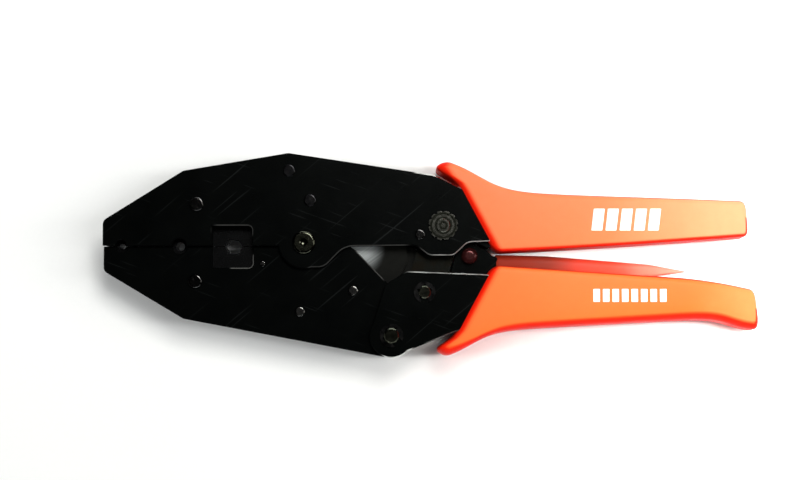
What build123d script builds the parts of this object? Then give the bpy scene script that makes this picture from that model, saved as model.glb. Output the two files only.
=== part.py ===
from build123d import *
import os
from math import atan2, cos, degrees, hypot, radians, sin

# Ratchet crimping tool, lying on its side with the jaws closed.
# X runs from the nose of the jaws to the ends of the grips, Y from the moving handle
# to the fixed handle, Z up from the side it lies on. Every dimension is in millimetres.

# ---------------------------------------------------------------- driving dimensions
# Pivot centres, measured from the nose along X and from the parting line along Y
MAIN_PIVOT = (70.4, 1.2)
HANDLE_PIVOT = (100.9, -31.2)
LINK_PIVOT = (112.4, -16.1)
ADJUSTER = (118.9, 7.1)
PAWL_PIVOT = (87.5, -15.5)
SPRING_ANCHOR = (69.0, -22.8)
STOP_PIN = (128.2, -3.3)

# Levels through the thickness, as heights above and below the middle of the tool
DIE_HALF = 4.5
CORE_HALF = 4.4
JAW_PLATE_TOP = 7.5
FRAME_PLATE_LOW = 7.6
FRAME_PLATE_TOP = 10.1
RATCHET_HALF = 2.0
LINK_LOW = 2.2
LINK_WEB_HALF = 1.85
GRIP_HALF = 11.5
PLATE_BEVEL = 0.35

# Shafts and the room round them
MAIN_PIN_R = 3.0
HANDLE_PIN_R = 2.6
LINK_PIN_R = 2.2
SMALL_PIN_R = 1.5
RIVET_R = 1.5
JOURNAL_R = 3.5
RUNNING_FIT = 0.05
JAW_EYE_R = 9.0
EYE_CLEARANCE = 0.4
CLIP_THICKNESS = 0.6
CLIP_GROOVE = 0.45

# Dies and the nests they crimp in: (centre along X, half height of the nest)
DIE_LENGTH = (0.7, 54.0)
PART_LINE = 0.15
SMALL_NESTS = ((6.6, 1.0), (26.8, 1.6))
MAIN_NEST_X = 45.4
MAIN_NEST_HALF_WIDTH = 3.1
MAIN_NEST_HALF_HEIGHT = 2.5
WINDOW = (38.2, 52.4)
WINDOW_UPPER = 7.1
WINDOW_LOWER = 7.5

# Adjuster
ECCENTRICITY = 0.3
ECCENTRIC_R = 3.0
LINK_EYE_SLACK = 1.25
STAR_R = 5.1
STAR_NOTCHES = 12

# Ratchet
PAWL_GAP = 0.15
TOOTH_TIP_R = 14.2
TOOTH_DEPTH = 1.0
TOOTH_COUNT = 6
TOOTH_PITCH = 4.8
FIRST_TOOTH = 137.0


# ---------------------------------------------------------------- helpers
def outline(points, radii):
    """A closed outline through the points, with its corners rounded to the radii."""
    return make_face(FilletPolyline(*points, radius=radii, close=True))


def slab(sketch, low, high):
    """The sketch given thickness from one height to another."""
    return Pos(0, 0, low) * extrude(sketch, high - low)


def side_plate(sketch, low, high):
    """A flat plate with its outer rim bevelled on the side that faces out."""
    plate = slab(sketch, low, high)
    rim = plate.faces().sort_by(Axis.Z)[-1].outer_wire().edges()
    return chamfer(rim, PLATE_BEVEL)


def disc(centre, radius, low, high):
    """A round slab about a centre."""
    return slab(Pos(*centre) * Circle(radius), low, high)


def bar(start, end, width):
    """A flat bar outline with round ends about two centres."""
    dx = end[0] - start[0]
    dy = end[1] - start[1]
    middle = ((start[0] + end[0]) / 2, (start[1] + end[1]) / 2)
    slot = SlotCenterToCenter(hypot(dx, dy), width)
    return Pos(*middle) * Rot(0, 0, degrees(atan2(dy, dx))) * slot


def far_side(shape):
    """The same piece on the other side of the tool."""
    return mirror(shape, Plane.XY)


def direction(start, end):
    """The angle of the line between two centres, in degrees."""
    return degrees(atan2(end[1] - start[1], end[0] - start[0]))


def beside(centre, angle, distance):
    """The centre moved a distance along an angle."""
    return (centre[0] + distance * cos(radians(angle)), centre[1] + distance * sin(radians(angle)))


def headed_pin(centre, radius, head_r, head_top, head_low, bottom):
    """A pin with a domed head on top of a straight shank."""
    head = disc(centre, head_r, head_low, head_top)
    head = fillet(head.edges().group_by(Axis.Z)[-1], (head_top - head_low) * 0.6)
    return head + disc(centre, radius, bottom, head_low)


def grooved_end(centre, radius, plate_top, end):
    """The end of a pin that stands out of a plate, with a groove for a clip."""
    stem = disc(centre, radius, plate_top, end)
    stem = chamfer(stem.edges().group_by(Axis.Z)[-1], 0.35)
    groove = disc(centre, radius, plate_top, plate_top + CLIP_THICKNESS)
    return stem - (groove - disc(centre, radius - CLIP_GROOVE, plate_top, plate_top + CLIP_THICKNESS))


def clip(centre, radius, plate_top, turn):
    """An open retaining clip that sits in a pin's groove."""
    inner = radius - CLIP_GROOVE
    ring = Circle(radius + 1.5) - Circle(inner)
    mouth = Pos(radius, 0) * Rectangle(2 * radius, 1.5 * inner)
    reliefs = [Rot(0, 0, angle) * Pos(radius, 0) * Circle(0.55) for angle in (110, 180, 250)]
    flat = ring - mouth - reliefs
    return slab(Pos(*centre) * Rot(0, 0, turn) * flat, plate_top, plate_top + CLIP_THICKNESS)


def cap_screw(centre, radius, head_r, plate_top, head_height, bottom):
    """A pan-head screw with a cross recess."""
    head = disc(centre, head_r, plate_top, plate_top + head_height)
    head = fillet(head.edges().group_by(Axis.Z)[-1], head_height * 0.45)
    arms = Rectangle(head_r * 1.3, head_r * 0.28) + Rectangle(head_r * 0.28, head_r * 1.3)
    recess = slab(Pos(*centre) * Rot(0, 0, 20) * arms, plate_top + head_height * 0.4, plate_top + head_height)
    return head - recess + disc(centre, radius, bottom, plate_top)


def holes(sketch, centres_and_radii):
    """The outline with a round hole at each centre."""
    for centre, radius in centres_and_radii:
        sketch -= Pos(*centre) * Circle(radius)
    return sketch


# ---------------------------------------------------------------- places of the fixings
UPPER_DIE_SCREW = (33.1, 14.6)
LOWER_DIE_SCREW = (32.4, -12.2)
DIE_SCREW_R = 1.5
LOCK_SCREW = (110.8, 4.0)
LOCK_SCREW_R = 1.1
FRAME_RIVETS = ((65.2, 26.3), (72.5, 15.9))
JAW_DOWEL = (55.9, -6.1)
DOWEL_R = 0.9
FRAME_TANG_RIVETS = ((143.0, 8.0), (196.0, 8.5))
HANDLE_TANG_RIVETS = ((143.0, -18.5), (196.0, -19.0))


# ---------------------------------------------------------------- outlines
def nest_reliefs(sign):
    """The half-round openings in the plates that let a terminal reach the small nests."""
    return [Pos(x, sign * PART_LINE) * Circle(half + 1.0) for x, half in SMALL_NESTS]


def window(height, sign):
    """The half of the side window that one jaw's plates leave open."""
    length = WINDOW[1] - WINDOW[0]
    pane = Rectangle(length, 2 * height)
    pane = fillet(pane.vertices().group_by(Axis.X)[-1], 1.6)
    return Pos(WINDOW[0] + length / 2, 0) * pane & Pos(WINDOW[0] + length / 2, sign * 10) * Rectangle(30, 20)


def frame_outline():
    """The fixed jaw, its pivot eye, its adjuster boss and the tang for the upper grip."""
    body = outline(
        [
            (0.3, PART_LINE), (0.3, 8.9), (28.2, 26.3), (64.9, 32.5), (116.8, 24.6), (124.5, 20.6),
            (138.0, 13.6), (212.0, 12.6), (212.0, 5.2), (150.0, 4.2), (134.5, 1.6), (127.4, 1.3),
            (122.6, -3.3), (114.0, -3.3), (109.4, 0.2), (84.5, -0.1), (77.4, -7.4), (70.4, -7.4),
            (61.6, PART_LINE),
        ],
        [0, 2.5, 3, 2, 14, 8, 6, 2, 2, 10, 8, 4, 3.5, 3.5, 4, 8, 5, 0, 0],
    )
    body += Pos(*MAIN_PIVOT) * Circle(JAW_EYE_R)
    body -= nest_reliefs(1)
    return body - window(WINDOW_UPPER, 1)


def jaw_outline():
    """The moving jaw, which carries the lower die, the pawl and the handle pivot."""
    body = outline(
        [
            (0.3, -PART_LINE), (0.3, -8.7), (28.2, -25.3), (100.4, -39.0), (106.5, -34.5),
            (99.3, -12.7), (88.5, -1.6), (76.0, 8.2), (61.6, -PART_LINE),
        ],
        [0, 2.5, 3, 5, 3, 2, 1.5, 0, 0],
    )
    body += Pos(*MAIN_PIVOT) * Circle(JAW_EYE_R)
    body += Pos(*HANDLE_PIVOT) * Circle(7.7)
    body -= nest_reliefs(-1)
    return body - window(WINDOW_LOWER, -1)


def handle_outline():
    """The moving handle from its pivot to the end of the tang in the lower grip."""
    body = outline(
        [
            (106.2, -8.8), (134.5, -9.9), (152.0, -13.4), (206.0, -15.6), (206.0, -23.2),
            (150.0, -24.4), (136.0, -26.0), (122.7, -29.9), (100.2, -39.0), (93.4, -30.4), (98.7, -13.4),
        ],
        [2.2, 10, 10, 2, 2, 10, 10, 10, 5, 3, 4],
    )
    return body + Pos(*HANDLE_PIVOT) * Circle(7.7)


# ---------------------------------------------------------------- fixed frame
def frame_plate():
    """One side plate of the frame."""
    flat = holes(
        frame_outline(),
        [(MAIN_PIVOT, MAIN_PIN_R), (ADJUSTER, JOURNAL_R + RUNNING_FIT), (UPPER_DIE_SCREW, DIE_SCREW_R)]
        + [(centre, RIVET_R) for centre in FRAME_RIVETS + FRAME_TANG_RIVETS],
    )
    return side_plate(flat, FRAME_PLATE_LOW, FRAME_PLATE_TOP)


def frame_liner():
    """The packing plate between a side plate and the upper die."""
    flat = outline(
        [
            (0.9, PART_LINE + 0.1), (0.9, 8.4), (28.3, 25.5), (63.8, 31.4), (80.0, 29.0),
            (80.0, 12.0), (58.4, 8.0), (58.4, PART_LINE + 0.1),
        ],
        [0, 2.5, 3, 2, 1, 1, 1, 0],
    )
    flat -= nest_reliefs(1)
    flat -= window(WINDOW_UPPER, 1)
    flat -= Pos(*MAIN_PIVOT) * Circle(JAW_EYE_R + EYE_CLEARANCE)
    flat = holes(flat, [(UPPER_DIE_SCREW, DIE_SCREW_R)] + [(centre, RIVET_R) for centre in FRAME_RIVETS])
    return slab(flat, DIE_HALF, FRAME_PLATE_LOW)


def frame_core():
    """The packing block behind the upper die, between the two liners."""
    flat = outline(
        [(54.2, 11.0), (54.2, 28.6), (63.8, 30.4), (79.4, 28.2), (79.4, 13.0), (66.0, 11.0)],
        [1, 1, 2, 1, 1, 1],
    )
    flat -= Pos(*MAIN_PIVOT) * Circle(11.5)
    flat = holes(flat, [(centre, RIVET_R) for centre in FRAME_RIVETS])
    return slab(flat, -DIE_HALF, DIE_HALF)


def tang_spacer(points, rivets):
    """The block that keeps a handle's two plates apart inside its grip."""
    flat = outline(points, [1.5] * len(points))
    flat = holes(flat, [(centre, RIVET_R) for centre in rivets])
    return slab(flat, -FRAME_PLATE_LOW, FRAME_PLATE_LOW)


def frame_rivet(centre):
    """A through rivet with a low domed head on each side."""
    half = headed_pin(centre, RIVET_R, 2.1, FRAME_PLATE_TOP + 0.6, FRAME_PLATE_TOP, 0)
    return half + far_side(half)


def tang_rivet(centre):
    """A rivet whose ends are flush with the plates, under the grip."""
    return disc(centre, RIVET_R, -FRAME_PLATE_TOP, FRAME_PLATE_TOP)


def main_pin():
    """The pin that both jaws turn on, with a wide head on each side."""
    half = headed_pin(MAIN_PIVOT, MAIN_PIN_R, 4.0, GRIP_HALF, FRAME_PLATE_TOP, 0)
    dimple = Pos(*MAIN_PIVOT, GRIP_HALF + 2.2) * Sphere(2.6)
    return half - dimple + far_side(half)


def coil(centre_radius, wire_r, turns, step):
    """A close-wound coil along Z: rings of round wire that run into one another."""
    rings = Pos(centre_radius, 0) * Circle(wire_r)
    for turn in range(1, turns):
        rings += Pos(centre_radius, turn * step) * Circle(wire_r)
    return revolve(Plane.XZ * rings, Axis.Z)


SPRING_WIRE_R = 0.6
SPRING_COIL_R = 5.6
SPRING_TURNS = 7
SPRING_STEP = 1.1
SPRING_LEG_R = 0.5
SPRING_LEG_LENGTH = 9.2
SPRING_LEG_SPLAY = 14.0


def main_spring():
    """The torsion spring round the main pin that opens the jaws."""
    height = (SPRING_TURNS - 1) * SPRING_STEP
    wound = Pos(*MAIN_PIVOT, -height / 2) * coil(SPRING_COIL_R, SPRING_WIRE_R, SPRING_TURNS, SPRING_STEP)
    leg = Cylinder(SPRING_LEG_R, SPRING_LEG_LENGTH, align=(Align.CENTER, Align.CENTER, Align.MIN))
    root = Pos(MAIN_PIVOT[0] - SPRING_COIL_R, MAIN_PIVOT[1], 0)
    frame_leg = Pos(0, 0, height / 2) * root * Rot(0, 0, SPRING_LEG_SPLAY) * Rot(-90, 0, 0) * leg
    jaw_leg = Pos(0, 0, -height / 2) * root * Rot(0, 0, -SPRING_LEG_SPLAY) * Rot(90, 0, 0) * leg
    return wound + frame_leg + jaw_leg


def nest(sign):
    """The half nests cut in a die's working face."""
    cuts = Sketch() + [Pos(x, 0) * Circle(half) for x, half in SMALL_NESTS]
    flank = MAIN_NEST_HALF_WIDTH - 1.4
    half_hexagon = Polygon(
        (-MAIN_NEST_HALF_WIDTH, 0), (-flank, sign * MAIN_NEST_HALF_HEIGHT), (flank, sign * MAIN_NEST_HALF_HEIGHT),
        (MAIN_NEST_HALF_WIDTH, 0), (0, -sign * 1.0), align=None,
    )
    return cuts + Pos(MAIN_NEST_X, 0) * half_hexagon


def die(sign, depth, shoulder, screw):
    """One crimping die: sign is +1 for the upper one and -1 for the lower one."""
    flat = outline(
        [
            (DIE_LENGTH[0], sign * 0.1), (DIE_LENGTH[0], sign * 6.5), (13.5, sign * shoulder),
            (22.0, sign * depth), (DIE_LENGTH[1], sign * depth), (DIE_LENGTH[1], sign * 0.1),
        ],
        [0.4, 0.8, 1, 1, 0.8, 0.4],
    )
    flat = holes(flat - nest(sign), [(screw, DIE_SCREW_R)])
    return slab(flat, -DIE_HALF, DIE_HALF)


# ---------------------------------------------------------------- adjuster
def adjuster():
    """The eccentric shaft and its notched wheel, which set the closing pressure."""
    wheel = Circle(STAR_R)
    for index in range(STAR_NOTCHES):
        wheel -= Rot(0, 0, index * 360 / STAR_NOTCHES) * Pos(STAR_R, 0) * Circle(0.5)
    head = slab(Pos(*ADJUSTER) * wheel, FRAME_PLATE_TOP + 0.1, FRAME_PLATE_TOP + 1.0)
    head -= disc(ADJUSTER, 4.1, FRAME_PLATE_TOP + 0.7, FRAME_PLATE_TOP + 1.0)
    head += disc(ADJUSTER, 3.4, FRAME_PLATE_TOP + 0.6, FRAME_PLATE_TOP + 1.0)
    boss = disc(ADJUSTER, 2.4, FRAME_PLATE_TOP + 1.0, FRAME_PLATE_TOP + 1.35)
    boss = chamfer(boss.edges().group_by(Axis.Z)[-1], 0.2)
    slot = slab(Pos(*ADJUSTER) * Rot(0, 0, 60) * Rectangle(5.2, 0.8), FRAME_PLATE_TOP + 0.8, FRAME_PLATE_TOP + 1.35)
    shaft = disc(ADJUSTER, JOURNAL_R, -FRAME_PLATE_TOP - 0.1, -FRAME_PLATE_LOW)
    shaft += disc(ADJUSTER, JOURNAL_R, FRAME_PLATE_LOW, FRAME_PLATE_TOP + 0.1)
    eccentric = disc((ADJUSTER[0] + ECCENTRICITY, ADJUSTER[1]), ECCENTRIC_R, -FRAME_PLATE_LOW, FRAME_PLATE_LOW)
    end = far_side(grooved_end(ADJUSTER, JOURNAL_R, FRAME_PLATE_TOP + 0.1, FRAME_PLATE_TOP + 1.1))
    return head + boss - slot + shaft + eccentric + end


# ---------------------------------------------------------------- moving jaw
def jaw_plate():
    """One side plate of the moving jaw."""
    flat = holes(
        jaw_outline(),
        [
            (MAIN_PIVOT, MAIN_PIN_R + RUNNING_FIT), (HANDLE_PIVOT, HANDLE_PIN_R + RUNNING_FIT),
            (PAWL_PIVOT, SMALL_PIN_R), (SPRING_ANCHOR, SMALL_PIN_R), (LOWER_DIE_SCREW, DIE_SCREW_R),
            (JAW_DOWEL, DOWEL_R),
        ],
    )
    return side_plate(flat, DIE_HALF, JAW_PLATE_TOP)


def jaw_core():
    """The block between the jaw plates, with the arm that shows behind the frame and the web that
    runs on between the links and keeps wire ends out of the linkage."""
    flat = outline(
        [
            (54.2, -1.0), (62.5, -1.0), (78.0, 3.5), (106.0, 1.2), (106.4, -5.6), (104.0, -9.9),
            (99.3, -14.0), (92.5, -10.4), (83.0, -10.4), (76.0, -13.6), (65.0, -17.4), (65.0, -27.6),
            (84.5, -32.0), (84.5, -34.6), (54.2, -28.8),
        ],
        [0.5, 0.5, 1, 0.6, 2, 2, 1, 3, 3, 2, 2, 2, 1, 1, 1],
    )
    flat -= Pos(*MAIN_PIVOT) * Circle(7.6)
    flat -= Pos(MAIN_PIVOT[0] - SPRING_COIL_R - 0.8, MAIN_PIVOT[1] - 6) * Rectangle(5.0, 9)
    flat = holes(flat, [(JAW_DOWEL, DOWEL_R)])
    web = outline(
        [
            (98.0, -10.2), (98.0, 0.8), (109.0, -0.4), (112.6, -4.7), (121.0, -4.9), (121.0, -12.0),
            (117.6, -12.0), (116.0, -10.2),
        ],
        [0.3, 0.3, 1, 2, 0.8, 0.8, 0.8, 0.5],
    )
    return slab(flat, -DIE_HALF, DIE_HALF) + slab(web, -LINK_WEB_HALF, LINK_WEB_HALF)


def jaw_cross_pin(centre):
    """A riveted pin right through the moving jaw."""
    half = headed_pin(centre, SMALL_PIN_R, 1.75, JAW_PLATE_TOP + 0.8, JAW_PLATE_TOP, 0)
    return half + far_side(half)


def jaw_dowel():
    """The small dowel that keys the jaw's core to its plates."""
    half = headed_pin(JAW_DOWEL, DOWEL_R, DOWEL_R, JAW_PLATE_TOP + 0.4, JAW_PLATE_TOP, 0)
    return half + far_side(half)


TAIL_LENGTH = 5.4
TAIL_HALF = 0.8
PAWL_HOOK_R = 2.0
PAWL_SPRING_R = 1.3
PAWL_SPRING_WIRE_R = 0.28
PAWL_SPRING_TURNS = 16
PAWL_SPRING_STEP = 0.52


def pawl():
    """The pawl that clicks over the ratchet, with a thin tail for its spring."""
    tip_angle = direction(PAWL_PIVOT, HANDLE_PIVOT)
    tail_end = beside(PAWL_PIVOT, direction(PAWL_PIVOT, SPRING_ANCHOR), TAIL_LENGTH)
    reach = hypot(HANDLE_PIVOT[0] - PAWL_PIVOT[0], HANDLE_PIVOT[1] - PAWL_PIVOT[1])
    tip = reach - TOOTH_TIP_R - PAWL_GAP
    nose = Polygon((0, -2.9), (tip - 1.4, -1.1), (tip, -0.3), (tip, 0.3), (tip - 1.4, 1.1), (0, 2.9), align=None)
    hub = Pos(*PAWL_PIVOT) * (Circle(3.3) + Rot(0, 0, tip_angle) * nose)
    pin_hole = [(PAWL_PIVOT, SMALL_PIN_R + RUNNING_FIT)]
    tail = holes(bar(PAWL_PIVOT, tail_end, 2.8), pin_hole + [(tail_end, 0.75)])
    return slab(holes(hub, pin_hole), -RATCHET_HALF, RATCHET_HALF) + slab(tail, -TAIL_HALF, TAIL_HALF)


def pawl_spring():
    """The extension spring from the pawl's tail to its anchor pin, drawn along Z and then laid down."""
    angle = direction(PAWL_PIVOT, SPRING_ANCHOR)
    reach = hypot(SPRING_ANCHOR[0] - PAWL_PIVOT[0], SPRING_ANCHOR[1] - PAWL_PIVOT[1])
    start = TAIL_LENGTH + 2 * PAWL_HOOK_R
    end = start + (PAWL_SPRING_TURNS - 1) * PAWL_SPRING_STEP
    anchor_hook_r = SMALL_PIN_R + PAWL_SPRING_WIRE_R + 0.02
    wire = Cylinder(PAWL_SPRING_WIRE_R, 2 * PAWL_SPRING_R)
    wound = Pos(0, 0, start) * coil(PAWL_SPRING_R, PAWL_SPRING_WIRE_R, PAWL_SPRING_TURNS, PAWL_SPRING_STEP)
    ends = [Pos(0, 0, height) * Rot(0, 90, 0) * wire for height in (start, end)]
    lead = Cylinder(PAWL_SPRING_WIRE_R, reach - anchor_hook_r - end, align=(Align.CENTER, Align.CENTER, Align.MIN))
    tail_hook = Pos(0, 0, TAIL_LENGTH + PAWL_HOOK_R) * Rot(90, 0, 0) * Torus(PAWL_HOOK_R, PAWL_SPRING_WIRE_R)
    anchor_hook = Pos(0, 0, reach) * Rot(0, 90, 0) * Torus(anchor_hook_r, PAWL_SPRING_WIRE_R)
    spring = wound + ends + Pos(0, 0, end) * lead + tail_hook + anchor_hook
    return Pos(*PAWL_PIVOT, 0) * Rot(0, 0, angle) * Rot(0, 90, 0) * spring


# ---------------------------------------------------------------- moving handle
def handle_plate():
    """One side plate of the moving handle."""
    flat = holes(
        handle_outline(),
        [(HANDLE_PIVOT, HANDLE_PIN_R), (LINK_PIVOT, LINK_PIN_R)]
        + [(centre, RIVET_R) for centre in HANDLE_TANG_RIVETS],
    )
    return side_plate(flat, FRAME_PLATE_LOW, FRAME_PLATE_TOP)


def ratchet_sector():
    """The toothed sector on the handle pin, tied to the link pin so that it turns with the handle."""
    root_r = TOOTH_TIP_R - TOOTH_DEPTH - 0.9
    last_tooth = FIRST_TOOTH + TOOTH_COUNT * TOOTH_PITCH

    def wedge(radius, start, end):
        corners = [(3 * radius * cos(radians(a)), 3 * radius * sin(radians(a))) for a in (start, (start + end) / 2, end)]
        return Circle(radius) & Polygon((0, 0), *corners, align=None)

    blank = wedge(root_r, FIRST_TOOTH - 16, last_tooth + 12) + wedge(TOOTH_TIP_R, FIRST_TOOTH, last_tooth)
    half_gap = TOOTH_TIP_R * radians(TOOTH_PITCH) * 0.42
    for index in range(TOOTH_COUNT - 1):
        gullet = Polygon((-TOOTH_DEPTH, 0), (0.2, half_gap), (0.2, -half_gap), align=None)
        blank -= Rot(0, 0, FIRST_TOOTH + (index + 1) * TOOTH_PITCH) * Pos(TOOTH_TIP_R, 0) * gullet
    flat = Pos(*HANDLE_PIVOT) * (blank + Circle(6.5)) + bar(HANDLE_PIVOT, LINK_PIVOT, 10.5)
    flat = holes(flat, [(HANDLE_PIVOT, HANDLE_PIN_R), (LINK_PIVOT, LINK_PIN_R)])
    return slab(flat, -RATCHET_HALF, RATCHET_HALF)


def clipped_pin(centre, radius, head_r):
    """A pin with a head on the far side and a grooved end on the near side."""
    shank = disc(centre, radius, -FRAME_PLATE_TOP, FRAME_PLATE_TOP)
    head = far_side(headed_pin(centre, radius, head_r, FRAME_PLATE_TOP + 1.0, FRAME_PLATE_TOP, 0))
    return shank + head + grooved_end(centre, radius, FRAME_PLATE_TOP, FRAME_PLATE_TOP + 1.3)


def washer(centre, radius, outer, low, high):
    """A spacing washer round a pin."""
    return slab(Pos(*centre) * (Circle(outer) - Circle(radius)), low, high)


def link_washers():
    """The washers that keep the links clear of the handle plates."""
    near = washer(LINK_PIVOT, LINK_PIN_R, 4.0, CORE_HALF + 0.1, FRAME_PLATE_LOW)
    return Compound([near, far_side(near)])


def handle_core():
    """The block between the handle plates, with the tab that carries the stop pin."""
    tab = outline(
        [
            (121.8, -24.0), (121.8, -9.0), (123.6, -1.6), (127.4, 1.7), (131.0, 0.3), (134.0, -1.2),
            (136.2, -3.2), (138.0, -3.8), (139.0, -11.9), (150.0, -14.2), (150.0, -23.6), (136.0, -25.2),
        ],
        [1, 4, 2, 1.5, 2, 2, 1, 1, 1, 1, 1, 4],
    )
    tab = holes(tab, [(STOP_PIN, 2.0), (HANDLE_TANG_RIVETS[0], RIVET_R)])
    cheek = outline(
        [(124.0, -12.0), (134.4, -12.0), (150.0, -14.2), (150.0, -23.6), (136.0, -25.2), (124.0, -27.6)],
        [1, 1, 1, 1, 4, 1],
    )
    cheek = holes(cheek, [(HANDLE_TANG_RIVETS[0], RIVET_R)])
    near = slab(cheek, CORE_HALF, FRAME_PLATE_LOW)
    return slab(tab, -CORE_HALF, CORE_HALF) + near + far_side(near)


def stop_pin():
    """The round stop that meets the frame when the handles are squeezed shut."""
    half = headed_pin(STOP_PIN, 2.0, 2.9, 7.2, CORE_HALF, 0)
    return half + far_side(half)


# ---------------------------------------------------------------- links
def link_plate():
    """One of the two links from the handle to the adjuster."""
    flat = bar(LINK_PIVOT, ADJUSTER, 13.0)
    flat = holes(
        flat,
        [(LINK_PIVOT, LINK_PIN_R + RUNNING_FIT), (ADJUSTER, ECCENTRIC_R + LINK_EYE_SLACK)],
    )
    return slab(flat, LINK_LOW, CORE_HALF)


# ---------------------------------------------------------------- grips
def grip(points, radii, swell_points, swell_radii):
    """A moulded grip: a flat-sided body with a fuller middle."""
    body = slab(outline(points, radii), -GRIP_HALF, GRIP_HALF)
    rims = body.edges().group_by(Axis.Z)[-1] + body.edges().group_by(Axis.Z)[0]
    body = chamfer(rims, 1.2)
    return body + slab(outline(swell_points, swell_radii), -7.5, 7.5)


def upper_grip():
    """The grip moulded over the frame's tang."""
    return grip(
        [
            (136.2, -1.5), (180.0, -0.4), (225.6, 3.3), (224.3, 14.6), (178.4, 16.3), (152.0, 17.8),
            (139.0, 20.8), (127.0, 26.0), (120.3, 30.0), (115.8, 26.6), (118.6, 23.6), (122.6, 21.6),
        ],
        [2.5, 60, 1.6, 1.6, 60, 30, 25, 25, 3, 2, 1.5, 3],
        [(139.0, 0.5), (138.5, -1.6), (180.0, -0.8), (222.0, 2.8), (222.0, 8.0), (139.0, 8.0)],
        [1, 1, 60, 1, 1, 1],
    )


def lower_grip():
    """The grip moulded over the moving handle's tang, with a flared tail."""
    return grip(
        [
            (135.8, -7.0), (150.0, -7.4), (205.0, -11.8), (227.4, -16.6), (229.3, -29.0), (224.0, -29.8),
            (212.0, -26.4), (190.0, -26.4), (159.6, -28.3), (140.4, -30.2), (126.5, -35.9), (119.2, -38.9),
            (115.4, -35.8), (118.4, -33.2), (122.3, -30.4),
        ],
        [2.5, 20, 40, 2, 2, 5, 25, 40, 40, 30, 20, 3, 2, 2, 3],
        [(137.0, -10.0), (136.4, -2.7), (155.0, -3.4), (190.0, -6.4), (206.0, -10.4), (206.0, -14.0)],
        [1, 2, 30, 20, 2, 1],
    )


# ---------------------------------------------------------------- the assembly
frame_far = far_side(frame_plate())
frame_near = frame_plate() - disc(LOCK_SCREW, LOCK_SCREW_R, FRAME_PLATE_LOW, FRAME_PLATE_TOP)
handle_near = handle_plate()
liner_near = frame_liner()
jaw_near = jaw_plate()
link_near = link_plate()
frame_spacer = tang_spacer(
    [
        (131.0, 5.5), (131.0, 1.2), (134.6, -0.7), (137.5, 1.8), (152.0, 5.0), (152.0, 12.8), (137.0, 13.2),
        (135.0, 5.5),
    ],
    FRAME_TANG_RIVETS[:1],
)
frame_end_spacer = tang_spacer([(188.0, 5.6), (188.0, 12.2), (204.0, 12.0), (204.0, 5.8)], FRAME_TANG_RIVETS[1:])
handle_end_spacer = tang_spacer(
    [(188.0, -22.6), (188.0, -15.6), (203.0, -16.2), (203.0, -22.4)], HANDLE_TANG_RIVETS[1:]
)
core = handle_core()

upper = upper_grip() - frame_near - frame_far - frame_spacer - frame_end_spacer
upper -= [tang_rivet(centre) for centre in FRAME_TANG_RIVETS]
lower = lower_grip() - handle_near - far_side(handle_near) - core - handle_end_spacer
lower -= [tang_rivet(centre) for centre in HANDLE_TANG_RIVETS]

nodes = {
    "frame_plate_near": frame_near,
    "frame_plate_far": frame_far,
    "frame_liner_near": liner_near,
    "frame_liner_far": far_side(liner_near),
    "frame_core": frame_core(),
    "frame_rivets": Compound([frame_rivet(centre) for centre in FRAME_RIVETS]),
    "frame_tang_spacers": Compound([frame_spacer, frame_end_spacer]),
    "frame_tang_rivets": Compound([tang_rivet(centre) for centre in FRAME_TANG_RIVETS]),
    "main_pivot_pin": main_pin(),
    "main_spring": main_spring(),
    "upper_die": die(1, 18.5, 14.6, UPPER_DIE_SCREW),
    "upper_die_screw": cap_screw(UPPER_DIE_SCREW, DIE_SCREW_R, 2.4, FRAME_PLATE_TOP, 1.2, -FRAME_PLATE_TOP),
    "lock_screw": cap_screw(LOCK_SCREW, LOCK_SCREW_R, 1.7, FRAME_PLATE_TOP, 0.8, FRAME_PLATE_LOW),
    "upper_grip": upper,
    "adjuster": adjuster(),
    "adjuster_clip": far_side(clip(ADJUSTER, JOURNAL_R, FRAME_PLATE_TOP + 0.1, 200)),
    "jaw_plate_near": jaw_near,
    "jaw_plate_far": far_side(jaw_near),
    "jaw_core": jaw_core(),
    "jaw_dowel": jaw_dowel(),
    "lower_die": die(-1, 17.5, 14.0, LOWER_DIE_SCREW),
    "lower_die_screw": cap_screw(LOWER_DIE_SCREW, DIE_SCREW_R, 2.4, JAW_PLATE_TOP, 1.2, -JAW_PLATE_TOP),
    "pawl_pin": jaw_cross_pin(PAWL_PIVOT),
    "spring_anchor_pin": jaw_cross_pin(SPRING_ANCHOR),
    "pawl_spring": pawl_spring(),
    "pawl": pawl(),
    "handle_plate_near": handle_near,
    "handle_plate_far": far_side(handle_near),
    "handle_core": core,
    "handle_end_spacer": handle_end_spacer,
    "handle_tang_rivets": Compound([tang_rivet(centre) for centre in HANDLE_TANG_RIVETS]),
    "ratchet_sector": ratchet_sector(),
    "handle_pivot_pin": clipped_pin(HANDLE_PIVOT, HANDLE_PIN_R, 3.6),
    "handle_pivot_clip": clip(HANDLE_PIVOT, HANDLE_PIN_R, FRAME_PLATE_TOP, -50),
    "link_pin": clipped_pin(LINK_PIVOT, LINK_PIN_R, 3.2),
    "link_pin_clip": clip(LINK_PIVOT, LINK_PIN_R, FRAME_PLATE_TOP, -90),
    "link_washers": link_washers(),
    "stop_pin": stop_pin(),
    "lower_grip": lower,
    "link_near": link_near,
    "link_far": far_side(link_near),
}

# The origin is the middle of the underside of the whole tool
box = Compound(list(nodes.values())).bounding_box()
to_origin = Pos(-box.center().X, -box.center().Y, -box.min.Z)

os.makedirs("parts", exist_ok=True)
for name, shape in nodes.items():
    export_step(to_origin * shape, f"parts/{name}.step")
print("moved by", to_origin.position, "size", box.size)
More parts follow.
